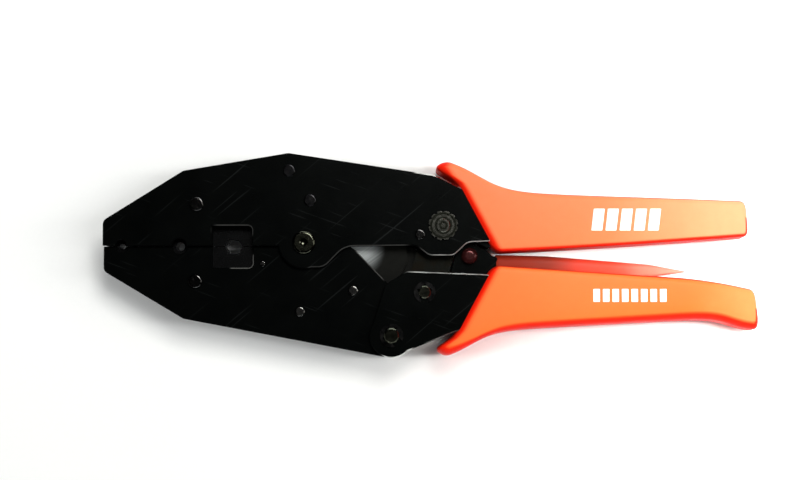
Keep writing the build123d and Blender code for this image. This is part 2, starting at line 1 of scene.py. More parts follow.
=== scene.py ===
# %% [markdown]
# # A ratchet crimping tool, finished for the camera
#
# The steel parts of the tool come in as exact solids. This lesson gives them their
# finishes, and makes the pieces that a solid modeller is poor at: the two soft grips,
# the wound springs and the white marks printed on the grips.
#
# Everything is in metres. The tool lies on its side: X runs from the nose of the jaws
# to the ends of the grips, Y from the moving handle to the fixed one, and Z up.

# %% Load the steel parts
import bpy
import numpy as np
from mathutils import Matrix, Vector


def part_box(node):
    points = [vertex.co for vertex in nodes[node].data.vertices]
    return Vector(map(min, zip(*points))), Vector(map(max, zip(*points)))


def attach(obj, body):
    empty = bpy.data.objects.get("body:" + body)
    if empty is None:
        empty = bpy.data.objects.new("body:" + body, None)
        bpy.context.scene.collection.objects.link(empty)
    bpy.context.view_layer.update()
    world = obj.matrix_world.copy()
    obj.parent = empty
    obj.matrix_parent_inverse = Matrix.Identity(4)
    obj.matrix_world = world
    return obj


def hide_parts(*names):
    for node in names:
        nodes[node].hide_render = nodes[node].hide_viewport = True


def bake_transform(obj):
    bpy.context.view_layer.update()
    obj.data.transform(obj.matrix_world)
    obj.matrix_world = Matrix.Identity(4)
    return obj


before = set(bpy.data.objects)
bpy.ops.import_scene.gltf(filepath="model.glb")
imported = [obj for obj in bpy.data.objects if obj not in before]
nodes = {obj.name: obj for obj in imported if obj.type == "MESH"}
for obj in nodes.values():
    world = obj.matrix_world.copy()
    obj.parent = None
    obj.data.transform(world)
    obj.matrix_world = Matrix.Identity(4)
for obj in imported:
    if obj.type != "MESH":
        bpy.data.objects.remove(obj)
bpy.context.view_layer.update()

# %% [markdown]
# ## Where things are
#
# A toolmaker measures a plier from its nose and from the line where the jaws meet.
# Those two lines are found again here from parts that are already in place: the main
# pivot pin is 70.4 mm behind the nose and 1.2 mm above the parting line, and the
# middle of its length is the middle of the tool's thickness.

# %% Millimetres on the tool to metres in the scene
MM = 0.001
PIVOT_FROM_NOSE = np.array([70.4, 1.2, 0.0])


def middle(node):
    """Centre of a part's box in metres: half of its lowest corner plus its highest."""
    low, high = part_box(node)
    return (np.array(low) + np.array(high)) / 2


def corner_to_scene():
    """Place of the point nose, parting line, mid thickness: the pin's centre less its distances."""
    return middle("main_pivot_pin") - PIVOT_FROM_NOSE * MM


ORIGIN = corner_to_scene()


def to_scene(points):
    """Tool millimetres to scene metres: each point times 0.001, plus the origin."""
    return np.asarray(points, float) * MM + ORIGIN


print("origin of the tool's own measures", ORIGIN.round(5))

# %% [markdown]
# ## Camera
#
# A flat tool is shown best from straight above. The camera leans back by only a few
# degrees, so a thin strip of each side wall shows under the faces. A long lens keeps
# the outline nearly free of perspective, as a drawing would be.

# %% Put the camera above the tool
scene = bpy.context.scene
CAMERA_LEAN = np.radians(3.0)
CAMERA_DISTANCE = 0.60
AIM = np.array([-0.0108, 0.0053, 0.021])

camera_data = bpy.data.cameras.new("bench_camera")
camera_data.lens = 77.5
camera_data.sensor_width = 36.0
camera_data.clip_start = 0.01
camera = bpy.data.objects.new("bench_camera", camera_data)
camera.location = AIM + CAMERA_DISTANCE * np.array([0.0, -np.sin(CAMERA_LEAN), np.cos(CAMERA_LEAN)])
camera.rotation_euler = (CAMERA_LEAN, 0.0, 0.0)
scene.collection.objects.link(camera)
scene.camera = camera
scene.view_settings.view_transform = "Standard"
print("camera at", [round(v, 4) for v in camera.location])

# %% [markdown]
# ## Meshes from arrays
#
# Every new piece is a grid: rows are stations along the piece and columns go round
# it. One helper turns such a grid into a mesh. The columns wrap round, and each end
# is closed by a fan to one point, so the surface has no hole.

# %% Grid to mesh
def grid_faces(rows, columns):
    """Quads between row i and i+1 and column j and j+1, where the last column meets the first."""
    i, j = np.meshgrid(np.arange(rows - 1), np.arange(columns), indexing="ij")
    a = i * columns + j
    b = i * columns + (j + 1) % columns
    return np.stack([a, b, b + columns, a + columns], -1).reshape(-1, 4)


def fan_faces(ring_start, columns, pole, flip):
    """Triangles from one ring to a pole, turned round for the far end so that they face out."""
    a = ring_start + np.arange(columns)
    b = ring_start + (np.arange(columns) + 1) % columns
    tip = np.full(columns, pole)
    return np.stack([b, a, tip] if flip else [a, b, tip], -1)


def closed_tube(rings):
    """Points and faces of a tube of rings, shape (rows, columns, 3), with both ends closed."""
    rows, columns, _ = rings.shape
    ends = np.stack([rings[0].mean(0), rings[-1].mean(0)])
    points = np.concatenate([rings.reshape(-1, 3), ends])
    faces = [grid_faces(rows, columns).tolist()]
    faces.append(fan_faces(0, columns, rows * columns, True).tolist())
    faces.append(fan_faces((rows - 1) * columns, columns, rows * columns + 1, False).tolist())
    return points, sum(faces, [])


def make_piece(name, parts, material, attribute=None):
    """One mesh from several (points, faces) parts in tool millimetres, with outward faces."""
    starts = np.cumsum([0] + [len(points) for points, _ in parts])
    points = to_scene(np.concatenate([points for points, _ in parts]))
    faces = [[start + i for i in face] for start, (_, group) in zip(starts, parts) for face in group]
    mesh = bpy.data.meshes.new(name)
    mesh.from_pydata(points.tolist(), [], faces)
    volume = sum_of_volumes(mesh)
    if volume < 0:
        mesh.flip_normals()
    mesh.polygons.foreach_set("use_smooth", np.ones(len(mesh.polygons), bool))
    for title, values in (attribute or {}).items():
        mesh.attributes.new(title, "FLOAT", "POINT").data.foreach_set("value", values.astype(np.float32))
    mesh.materials.append(material)
    mesh.update()
    piece = bpy.data.objects.new(name, mesh)
    scene.collection.objects.link(piece)
    print(name, "points", len(points), "faces", len(faces), "volume mm3", round(abs(volume) * 1e9, 1))
    return piece


def sum_of_volumes(mesh):
    """Signed volume: each triangle's corners as a triple product, over six. Negative is inside out."""
    mesh.calc_loop_triangles()
    corners = np.zeros(len(mesh.loop_triangles) * 3, np.int32)
    mesh.loop_triangles.foreach_get("vertices", corners)
    places = np.zeros(len(mesh.vertices) * 3)
    mesh.vertices.foreach_get("co", places)
    a, b, c = places.reshape(-1, 3)[corners.reshape(-1, 3)].transpose(1, 0, 2)
    return float(np.einsum("ij,ij->i", a - ORIGIN, np.cross(b - ORIGIN, c - ORIGIN)).sum() / 6)


# %% [markdown]
# ## A small kit for finishes
#
# A finish is a chain of nodes. These helpers add one node each and hand back its
# output, so a material reads like a sentence. Patterns are measured in millimetres on
# the part itself, through Object coordinates, and stay put when the part moves.

# %% Node helpers
def new_finish(name):
    """An empty material: its tree and its one surface shader."""
    material = bpy.data.materials.new(name)
    material.use_nodes = True
    tree = material.node_tree
    return material, tree, tree.nodes["Principled BSDF"]


def plug(tree, value, socket):
    """Joins an output to a socket, or sets a plain number or colour on the socket itself."""
    if isinstance(value, bpy.types.NodeSocket):
        tree.links.new(value, socket)
    else:
        socket.default_value = value


def maths(tree, operation, a, b=0.0):
    """a and b through one arithmetic step."""
    node = tree.nodes.new("ShaderNodeMath")
    node.operation = operation
    plug(tree, a, node.inputs[0])
    plug(tree, b, node.inputs[1])
    return node.outputs[0]


def spread(tree, value, low, high, to_low=0.0, to_high=1.0):
    """Smooth step: to_low below low, to_high above high, and an S curve between them."""
    node = tree.nodes.new("ShaderNodeMapRange")
    node.interpolation_type = "SMOOTHSTEP"
    plug(tree, value, node.inputs["Value"])
    for title, number in zip(("From Min", "From Max", "To Min", "To Max"), (low, high, to_low, to_high)):
        node.inputs[title].default_value = number
    return node.outputs[0]


def millimetres(tree, centre=(0, 0, 0), turn=0.0, stretch=(1, 1, 1)):
    """Object coordinates in millimetres from a point on the tool, turned about Z, then stretched."""
    coordinates = tree.nodes.new("ShaderNodeTexCoord").outputs["Object"]
    move = tree.nodes.new("ShaderNodeMapping")
    move.vector_type = "TEXTURE"
    move.inputs["Location"].default_value = to_scene(centre)
    move.inputs["Rotation"].default_value = (0, 0, turn)
    move.inputs["Scale"].default_value = MM / np.array(stretch, float)
    tree.links.new(coordinates, move.inputs["Vector"])
    return move.outputs[0]


def noise(tree, vector, size, detail=3.0, rough=0.55):
    """Cloudy noise with patches of about size millimetres."""
    node = tree.nodes.new("ShaderNodeTexNoise")
    tree.links.new(vector, node.inputs["Vector"])
    node.inputs["Scale"].default_value = 1.0 / size
    node.inputs["Detail"].default_value = detail
    node.inputs["Roughness"].default_value = rough
    return node.outputs["Fac"]


def blend_colour(tree, amount, a, b):
    """Colour a where amount is 0 and b where it is 1."""
    node = tree.nodes.new("ShaderNodeMix")
    node.data_type = "RGBA"
    plug(tree, amount, node.inputs["Factor"])
    for value, socket in ((a, node.inputs["A"]), (b, node.inputs["B"])):
        plug(tree, (*value, 1.0) if isinstance(value, tuple) else value, socket)
    return node.outputs["Result"]


def blend_number(tree, amount, a, b):
    """Number a where amount is 0 and b where it is 1."""
    node = tree.nodes.new("ShaderNodeMix")
    plug(tree, amount, node.inputs["Factor"])
    plug(tree, a, node.inputs["A"])
    plug(tree, b, node.inputs["B"])
    return node.outputs["Result"]


def raise_surface(tree, height, depth, before=None):
    """Bump whose full height is depth millimetres, on top of an earlier bump."""
    node = tree.nodes.new("ShaderNodeBump")
    node.inputs["Distance"].default_value = depth * MM
    tree.links.new(height, node.inputs["Height"])
    if before is not None:
        tree.links.new(before, node.inputs["Normal"])
    return node.outputs["Normal"]


def distance_from(tree, centre, stretch=(1, 1, 0.0001)):
    """Distance in millimetres from an upright axis through centre, after each direction is stretched."""
    node = tree.nodes.new("ShaderNodeVectorMath")
    node.operation = "LENGTH"
    tree.links.new(millimetres(tree, (centre[0], centre[1], 0.0), stretch=stretch), node.inputs[0])
    return node.outputs["Value"]


def bevel_facets(tree):
    """1 on faces that lean at about 45 degrees to Z, as a bevel does, and 0 on flats and walls."""
    normal = tree.nodes.new("ShaderNodeNewGeometry").outputs["True Normal"]
    split = tree.nodes.new("ShaderNodeSeparateXYZ")
    tree.links.new(normal, split.inputs[0])
    upright = maths(tree, "ABSOLUTE", split.outputs["Z"])
    away = maths(tree, "ABSOLUTE", maths(tree, "SUBTRACT", upright, 0.707))
    return spread(tree, away, 0.12, 0.25, 1.0, 0.0), upright


def finish_surface(tree, shader, colour, metallic, roughness, normal):
    """Sends the four worked out results to the shader."""
    plug(tree, colour, shader.inputs["Base Color"])
    plug(tree, metallic, shader.inputs["Metallic"])
    plug(tree, roughness, shader.inputs["Roughness"])
    tree.links.new(normal, shader.inputs["Normal"])


print("finish helpers ready")

# %% [markdown]
# ## Blackened plate
#
# The side plates are stamped from sheet, tumbled and then blackened in a hot salt bath. That leaves a dense,
# faintly blue-green black with darker and paler clouds, the fine lines of the rolled sheet under it, and a
# few handling scratches. On the bevelled rims, bright bare steel is painted round listed spots. It is partly
# wear from hands and cloth and partly painted highlight, placed and weighted where the rims catch the light.
# The stamped walls are rougher, with the upright drag lines of the punch.

# %% Blackened plate
def blackened_plate(name, worn_highlight_spots):
    """Black oxide over rolled steel: clouds, roll lines, scratches, dragged walls, and bare steel painted on
    the bevels round each spot, partly wear and partly painted highlight, given as x, y, reach along x, reach
    along y and how bright."""
    material, tree, shader = new_finish(name)
    place = millimetres(tree)
    clouds = noise(tree, place, 11.0, 4.0)
    specks = noise(tree, place, 0.45, 2.0, 0.7)
    roll_lines = noise(tree, millimetres(tree, turn=0.05, stretch=(0.03, 1, 1)), 0.22, 2.0)
    drag_lines = noise(tree, millimetres(tree, stretch=(1, 1, 0.05)), 0.35, 2.0)
    scratch = noise(tree, millimetres(tree, turn=0.7, stretch=(0.02, 1, 1)), 0.7, 1.0, 0.3)
    other = noise(tree, millimetres(tree, turn=-0.35, stretch=(0.03, 1, 1)), 0.5, 1.0, 0.3)
    scratches = spread(tree, maths(tree, "MAXIMUM", scratch, other), 0.72, 0.79)
    facets, upright = bevel_facets(tree)
    walls = spread(tree, upright, 0.1, 0.5, 1.0, 0.0)
    # Bare steel on the bevels round each spot: partly wear, partly painted highlight where the rims catch
    # the light.
    rubbed_and_lit = 0.0
    for x, y, reach_x, reach_y, bright in worn_highlight_spots:
        reach = distance_from(tree, (x, y), (1 / reach_x, 1 / reach_y, 0.0001))
        rubbed_and_lit = maths(tree, "MAXIMUM", rubbed_and_lit, spread(tree, reach, 0.75, 1.0, bright, 0.0))
    patchy = spread(tree, noise(tree, place, 4.0, 3.0), 0.30, 0.55, 0.55, 1.0)
    # worn is the painted bevel steel: wear and painted highlight in one.
    worn = maths(tree, "MULTIPLY", facets, maths(tree, "MULTIPLY", rubbed_and_lit, patchy))
    black = blend_colour(tree, clouds, (0.0006, 0.0009, 0.0009), (0.0022, 0.0028, 0.0026))
    black = blend_colour(tree, maths(tree, "MULTIPLY", scratches, 0.25), black, (0.035, 0.039, 0.039))
    colour = blend_colour(tree, worn, black, (0.60, 0.60, 0.57))
    rough = blend_number(tree, clouds, 0.24, 0.34)
    rough = blend_number(tree, maths(tree, "MAXIMUM", walls, facets), rough, 0.75)
    rough = blend_number(tree, worn, rough, 0.26)
    metallic = blend_number(tree, worn, 0.5, 1.0)
    normal = raise_surface(tree, roll_lines, 0.006)
    normal = raise_surface(tree, specks, 0.004, normal)
    normal = raise_surface(tree, maths(tree, "MULTIPLY", drag_lines, walls), 0.05, normal)
    normal = raise_surface(tree, maths(tree, "MULTIPLY", scratches, -1.0), 0.004, normal)
    finish_surface(tree, shader, colour, metallic, rough, normal)
    shader.inputs["Specular IOR Level"].default_value = 0.05
    return material


# Spots of bevel wear and painted highlight: x, y, reach along x, reach along y and how bright, set where the
# rims catch the light.
FRAME_WEAR_HIGHLIGHTS = [
    (94.0, 0.0, 14.0, 6.0, 0.10), (125.0, 0.5, 15.0, 7.0, 0.6), (79.0, -5.5, 8.5, 5.5, 0.08),
    (117.5, 23.5, 10.5, 6.0, 1.0), (46.0, 5.5, 8.5, 4.0, 0.12),
]
HANDLE_WEAR_HIGHLIGHTS = [(122.0, -9.5, 17.0, 3.2, 0.85), (103.5, -38.0, 6.5, 5.0, 0.9), (120.0, -31.5, 10.0, 4.5, 0.2)]
JAW_WEAR_HIGHLIGHTS = [(49.5, -6.0, 6.0, 4.0, 0.45), (92.0, -8.0, 8.0, 8.0, 0.15)]
frame_finish = blackened_plate("blackened_frame_plate", FRAME_WEAR_HIGHLIGHTS)
handle_finish = blackened_plate("blackened_handle_plate", HANDLE_WEAR_HIGHLIGHTS)
jaw_finish = blackened_plate("blackened_jaw_plate", JAW_WEAR_HIGHLIGHTS)
packing_finish = blackened_plate("blackened_packing", [])
print("made", frame_finish.name, handle_finish.name, jaw_finish.name, packing_finish.name)

# %% [markdown]
# ## Ground core
#
# The block between the jaw plates is not blackened where it shows behind the frame: its face is ground
# bright, and the grinding wheel left streaks that run out from one corner. Its brightness is painted light
# and shade: the steel is painted brightest at that corner, where the light falls, and painted dark towards
# the links, where the plates shade it.

# %% Ground core
LIT_CORE_CORNER = (89.0, -1.4)


def ground_core(name):
    """Streaks at one slant over steel painted bright at one corner and darker with the distance from it:
    painted light and painted shade.
    """
    material, tree, shader = new_finish(name)
    place = millimetres(tree)
    streaks = noise(tree, millimetres(tree, (88.0, -1.5, 0), 0.62, (0.02, 1, 1)), 0.5, 3.0)
    fine = noise(tree, millimetres(tree, (88.0, -1.5, 0), 0.62, (0.01, 1, 1)), 0.12, 2.0)
    clouds = noise(tree, place, 3.0, 3.0)
    # Painted light: 1 at the lit corner, falling to 0 ten millimetres away, where the steel is painted
    # shade.
    bright = spread(tree, distance_from(tree, LIT_CORE_CORNER), 2.0, 10.0, 1.0, 0.0)
    steel = blend_colour(tree, streaks, (0.15, 0.165, 0.165), (0.58, 0.62, 0.62))
    painted_shade_steel = blend_colour(tree, clouds, (0.0015, 0.0016, 0.0014), (0.006, 0.0065, 0.005))
    colour = blend_colour(tree, bright, painted_shade_steel, steel)
    rough = blend_number(tree, streaks, 0.58, 0.44)
    metallic = blend_number(tree, bright, 0.35, 0.62)
    normal = raise_surface(tree, streaks, 0.012)
    normal = raise_surface(tree, fine, 0.006, normal)
    finish_surface(tree, shader, colour, metallic, rough, normal)
    shader.inputs["Specular IOR Level"].default_value = 0.12
    return material


core_finish = ground_core("ground_core")
print("made", core_finish.name)

# %% [markdown]
# ## Dies and hardened parts
#
# The dies are hardened, blackened and then ground on their flats, so a fine straight
# grain runs along them and their sharp corners are slightly bright. The ratchet, the
# pawl and the links are case-hardened: the quench leaves very dark grey and straw
# clouds over brushed steel.

# %% Dies and hardened parts
def ground_die(name):
    """Straight grain along X over dark steel, and small clouds of oil."""
    material, tree, shader = new_finish(name)
    place = millimetres(tree)
    grain = noise(tree, millimetres(tree, stretch=(0.02, 1, 1)), 0.16, 3.0)
    clouds = noise(tree, place, 4.0, 4.0)
    facets, _ = bevel_facets(tree)
    colour = blend_colour(tree, grain, (0.0020, 0.0022, 0.0024), (0.0080, 0.0085, 0.0090))
    colour = blend_colour(tree, maths(tree, "MULTIPLY", clouds, 0.5), colour, (0.0020, 0.0024, 0.0028))
    colour = blend_colour(tree, facets, colour, (0.10, 0.10, 0.095))
    rough = blend_number(tree, clouds, 0.22, 0.32)
    normal = raise_surface(tree, grain, 0.006)
    finish_surface(tree, shader, colour, 0.8, rough, normal)
    return material


def case_hardened(name, turn):
    """Brushed lines at one angle under dark quench clouds of grey and straw."""
    material, tree, shader = new_finish(name)
    place = millimetres(tree)
    brushed = noise(tree, millimetres(tree, turn=turn, stretch=(0.03, 1, 1)), 0.18, 2.0)
    quench = noise(tree, place, 5.0, 5.0, 0.6)
    steel = blend_colour(tree, brushed, (0.0020, 0.0024, 0.0020), (0.0080, 0.0090, 0.0070))
    straw = blend_colour(tree, spread(tree, quench, 0.42, 0.62), steel, (0.0060, 0.0050, 0.0030))
    rough = blend_number(tree, brushed, 0.42, 0.30)
    normal = raise_surface(tree, brushed, 0.008)
    normal = raise_surface(tree, noise(tree, place, 0.5, 2.0), 0.006, normal)
    finish_surface(tree, shader, straw, 0.75, rough, normal)
    shader.inputs["Specular IOR Level"].default_value = 0.15
    return material


die_finish = ground_die("ground_die")
ratchet_finish = case_hardened("case_hardened_ratchet", 0.3)
link_finish = case_hardened("case_hardened_link", -1.3)
print("made", die_finish.name, ratchet_finish.name, link_finish.name)

# %% [markdown]
# ## Turned pins and screws
#
# Pins, rivets, washers and the adjuster come off a lathe. The tool leaves rings round
# each one's own axis, so every pin gets a material centred on its middle, and the
# rings are a sine of the distance from there. Oil in the rings gives an olive tint.

# %% Turned steel
def turned(name, centres, low, high, ring=0.16, rough_low=0.13, rough_high=0.22, metal=1.0):
    """Rings: sine of the distance to the nearest axis, over steel from colour low to colour high."""
    material, tree, shader = new_finish(name)
    place = millimetres(tree)
    reach = None
    for centre in centres:
        value = distance_from(tree, centre)
        reach = value if reach is None else maths(tree, "MINIMUM", reach, value)
    wander = maths(tree, "MULTIPLY", noise(tree, place, 1.5), 0.05)
    rings = maths(tree, "SINE", maths(tree, "MULTIPLY", maths(tree, "ADD", reach, wander), 6.283 / ring))
    rings = spread(tree, rings, -1.0, 1.0)
    oil = noise(tree, place, 1.6, 4.0)
    colour = blend_colour(tree, maths(tree, "MULTIPLY", rings, oil), low, high)
    rough = blend_number(tree, oil, rough_low, rough_high)
    normal = raise_surface(tree, rings, 0.0012)
    normal = raise_surface(tree, noise(tree, place, 0.9, 2.0), 0.0004, normal)
    finish_surface(tree, shader, colour, metal, rough, normal)
    return material


def axis_of(node):
    """A round part's axis on the tool, in millimetres: the middle of its box."""
    return tuple((middle(node) - ORIGIN)[:2] / MM)


OLIVE, PALE_OLIVE = (0.035, 0.038, 0.028), (0.170, 0.175, 0.130)
BLACK_STEEL, GREY_STEEL = (0.020, 0.020, 0.022), (0.090, 0.090, 0.094)
BRIGHT, PALE = (0.130, 0.130, 0.126), (0.500, 0.500, 0.480)
SCREW_DARK, SCREW_PALE = (0.050, 0.050, 0.050), (0.260, 0.260, 0.250)
WHEEL_PALE = (0.28, 0.28, 0.25)
# DARK_RED and RED are a painted reflection of the red grips, used for the stop pin.
DARK_RED, RED = (0.030, 0.007, 0.007), (0.130, 0.026, 0.026)
pin_finishes = {}
for node in ("main_pivot_pin", "handle_pivot_pin", "link_pin"):
    pin_finishes[node] = turned("turned_" + node, [axis_of(node)], OLIVE, PALE_OLIVE)
for node in ("pawl_pin", "spring_anchor_pin", "jaw_dowel"):
    pin_finishes[node] = turned("turned_" + node, [axis_of(node)], BRIGHT, PALE, 0.10, 0.12, 0.20)
for node in ("upper_die_screw", "lower_die_screw", "lock_screw"):
    pin_finishes[node] = turned("turned_" + node, [axis_of(node)], SCREW_DARK, SCREW_PALE, 0.12, 0.10, 0.17)
wheel_axis, stop_axis = [axis_of("adjuster")], [axis_of("stop_pin")]
pin_finishes["adjuster"] = turned("turned_adjuster", wheel_axis, OLIVE, WHEEL_PALE, 1.55, 0.14, 0.22)
# Painted reflection: the stop pin is tinted dark red, as the red grips beside it would show in its steel.
pin_finishes["stop_pin"] = turned("turned_stop_pin", stop_axis, DARK_RED, RED, 0.16, 0.16, 0.26, 0.7)
pin_finishes["link_washers"] = turned("turned_washers", [axis_of("link_pin")], OLIVE, PALE_OLIVE)
RIVETS = [(65.2, 26.3), (72.5, 15.9)]
pin_finishes["frame_rivets"] = turned("turned_rivets", RIVETS, BLACK_STEEL, GREY_STEEL, 0.12)
TANG_RIVET_X = (143.0, 196.0)
for node, heights in (("frame_tang_rivets", (8.0, 8.5)), ("handle_tang_rivets", (-18.5, -19.0))):
    ends = list(zip(TANG_RIVET_X, heights))
    pin_finishes[node] = turned("turned_" + node, ends, BLACK_STEEL, GREY_STEEL)
print("turned finishes", len(pin_finishes))

# %% [markdown]
# ## Spring wire
#
# Springs are drawn wire, wound cold and tempered blue-grey. Drawing leaves faint lines
# along the wire, and the temper colours drift slowly from turn to turn.

# %% Spring wire
def spring_wire(name, low=(0.085, 0.090, 0.100), high=(0.42, 0.42, 0.41)):
    """Fine grain and slow temper clouds over drawn wire."""
    material, tree, shader = new_finish(name)
    place = millimetres(tree)
    temper = noise(tree, place, 2.2, 3.0)
    grain = noise(tree, place, 0.12, 2.0)
    colour = blend_colour(tree, spread(tree, temper, 0.3, 0.7), low, high)
    rough = blend_number(tree, grain, 0.16, 0.26)
    finish_surface(tree, shader, colour, 1.0, rough, raise_surface(tree, grain, 0.002))
    return material


wire_finish = spring_wire("spring_wire")
clip_finish = spring_wire("spring_clip", (0.008, 0.008, 0.009), (0.060, 0.060, 0.060))
print("made", wire_finish.name, clip_finish.name)

# %% [markdown]
# ## Grip plastic
#
# The grips are soft orange vinyl with a fine leathery grain and a slight sheen. The deeper red on the walls
# and on the rolled lip is painted shade, where they turn away from the light. The orange is painted palest
# towards the tail, a painted highlight where the light is strongest: a smooth step along X, with its edge
# broken up by the clouds. The piece itself says where the red is. Its mesh carries a value named lip, 0 on a
# face and 1 on a wall, which also makes the red less shiny. A second value is 1 where the fin is painted
# dark brown: painted shade under the upper grip, near the pivot.

# %% Grip plastic
def grip_plastic(name, face, lit_tail_colour, lit_tail_span):
    """Face colour painted paler towards the tail, a painted highlight between the two places given last,
    deep red painted shade where the mesh's lip value asks for it, and dark painted shade where its second
    value asks for it, with clouds, grain and sheen."""
    material, tree, shader = new_finish(name)
    place = millimetres(tree)
    lip = tree.nodes.new("ShaderNodeAttribute")
    lip.attribute_name = "lip"
    painted_shade = tree.nodes.new("ShaderNodeAttribute")
    painted_shade.attribute_name = "painted_shade"
    clouds = noise(tree, place, 14.0, 4.0, 0.6)
    mottle = noise(tree, place, 2.6, 3.0)
    leather = tree.nodes.new("ShaderNodeTexVoronoi")
    tree.links.new(place, leather.inputs["Vector"])
    leather.inputs["Scale"].default_value = 1.6
    grain = noise(tree, place, 0.25, 2.0)
    split = tree.nodes.new("ShaderNodeSeparateXYZ")
    tree.links.new(place, split.inputs[0])
    along = maths(tree, "ADD", split.outputs["X"], maths(tree, "MULTIPLY", clouds, 12.0))
    # Painted highlight: the face turns paler towards the tail, where the light is strongest.
    skin = blend_colour(tree, spread(tree, along, *lit_tail_span), face, lit_tail_colour)
    skin = blend_colour(tree, maths(tree, "MULTIPLY", mottle, 0.16), skin, (0.60, 0.10, 0.02))
    # Painted shade: deep red where the walls and the rolled lip turn away from the light.
    colour = blend_colour(tree, lip.outputs["Fac"], skin, (0.80, 0.014, 0.003))
    # Painted shade: dark brown where the upper grip shades the fin near the pivot.
    colour = blend_colour(tree, painted_shade.outputs["Fac"], colour, (0.060, 0.020, 0.009))
    rough = blend_number(tree, mottle, 0.38, 0.52)
    normal = raise_surface(tree, leather.outputs["Distance"], 0.018)
    normal = raise_surface(tree, grain, 0.010, normal)
    finish_surface(tree, shader, colour, 0.0, rough, normal)
    plug(tree, blend_number(tree, lip.outputs["Fac"], 0.28, 0.08), shader.inputs["Specular IOR Level"])
    shader.inputs["Subsurface Weight"].default_value = 0.05
    shader.inputs["Subsurface Scale"].default_value = 0.001
    shader.inputs["Subsurface Radius"].default_value = (1.0, 0.2, 0.1)
    return material


# The paler tail colours, and the spans where they come in, are painted highlight.
upper_plastic = grip_plastic("vinyl_upper", (0.90, 0.178, 0.061), (0.95, 0.345, 0.170), (168.0, 238.0))
lower_plastic = grip_plastic("vinyl_lower", (0.90, 0.157, 0.028), (0.92, 0.265, 0.080), (208.0, 238.0))
# The fin's own vinyl: its deeper red face is painted shade in the gap between the grips, and its pale tip
# colour is painted highlight.
fin_plastic = grip_plastic("vinyl_fin", (0.84, 0.052, 0.027), (0.94, 0.330, 0.240), (182.0, 211.0))
print("made", upper_plastic.name, lower_plastic.name, fin_plastic.name)

# %% [markdown]
# ## The shape of a grip
#
# A grip is a soft block whose two edges are curves, called rails here. Between the
# rails it has nearly flat faces and rounded corners. Its front is slanted, with a
# rolled lip and a lug that keeps the hand off the pivot; its tail is rounded. One
# grid does all of this: a rounded rectangle is carried from the front to the tail,
# and pulled in at both ends along a quarter circle, which makes the lip and the tail.

# %% Rounded rectangle
ARC_POINTS = 9
FLAT_POINTS = 9


def unit_section():
    """Four weights per point so that y = A (w - r) + B r and z = C (h - r) + D r trace the section."""
    a, b, c, d = [], [], [], []
    corners = [(1, 1), (-1, 1), (-1, -1), (1, -1)]
    flats = np.linspace(0, 1, FLAT_POINTS + 2)[1:-1]
    for k, (cy, cz) in enumerate(corners):
        turn = np.radians(90 * k + np.linspace(0, 90, ARC_POINTS))
        a.append(np.full(ARC_POINTS, cy)), b.append(np.cos(turn))
        c.append(np.full(ARC_POINTS, cz)), d.append(np.sin(turn))
        ny, nz = corners[(k + 1) % 4]
        a.append(cy + (ny - cy) * flats), c.append(cz + (nz - cz) * flats)
        b.append(np.full(FLAT_POINTS, np.cos(turn[-1]).round()))
        d.append(np.full(FLAT_POINTS, np.sin(turn[-1]).round()))
    return tuple(np.concatenate(v).astype(float) for v in (a, b, c, d))


SECTION = unit_section()
print("points round a section", len(SECTION[0]))


# %% Stations along a grip
def stations(length, lip, tail, body=90):
    """Share along the grip, pull-in in millimetres and size of each ring, front cap to tail cap. The pull-in
    is its full depth times one less the sine of a quarter turn, which rounds the lip and the tail."""
    cap = np.array([0.12, 0.35, 0.6, 0.82])
    roll = np.linspace(0, np.pi / 2, 9)
    front_in, front_at = lip * (1 - np.sin(roll)), lip * (1 - np.cos(roll))
    tail_in, tail_at = tail * (1 - np.sin(roll)), tail * (1 - np.cos(roll))
    along = np.linspace(front_at[-1], length - tail_at[-1], body + 2)[1:-1]
    share = np.concatenate([0 * cap, front_at, along, length - tail_at[::-1], length + 0 * cap]) / length
    pull = np.concatenate([lip + 0 * cap, front_in, 0 * along, tail_in[::-1], tail + 0 * cap])
    size = np.concatenate([cap, np.ones(2 * len(roll) + body), cap[::-1]])
    return share, pull, size


def sigmoid(value):
    """One over one plus e to the minus value: a smooth step from 0 to 1."""
    return 1 / (1 + np.exp(-value))


def smooth(value):
    """Smooth step: 0 below 0, 1 above 1, and 3v^2 - 2v^3 between them."""
    v = np.clip(value, 0, 1)
    return v * v * (3 - 2 * v)


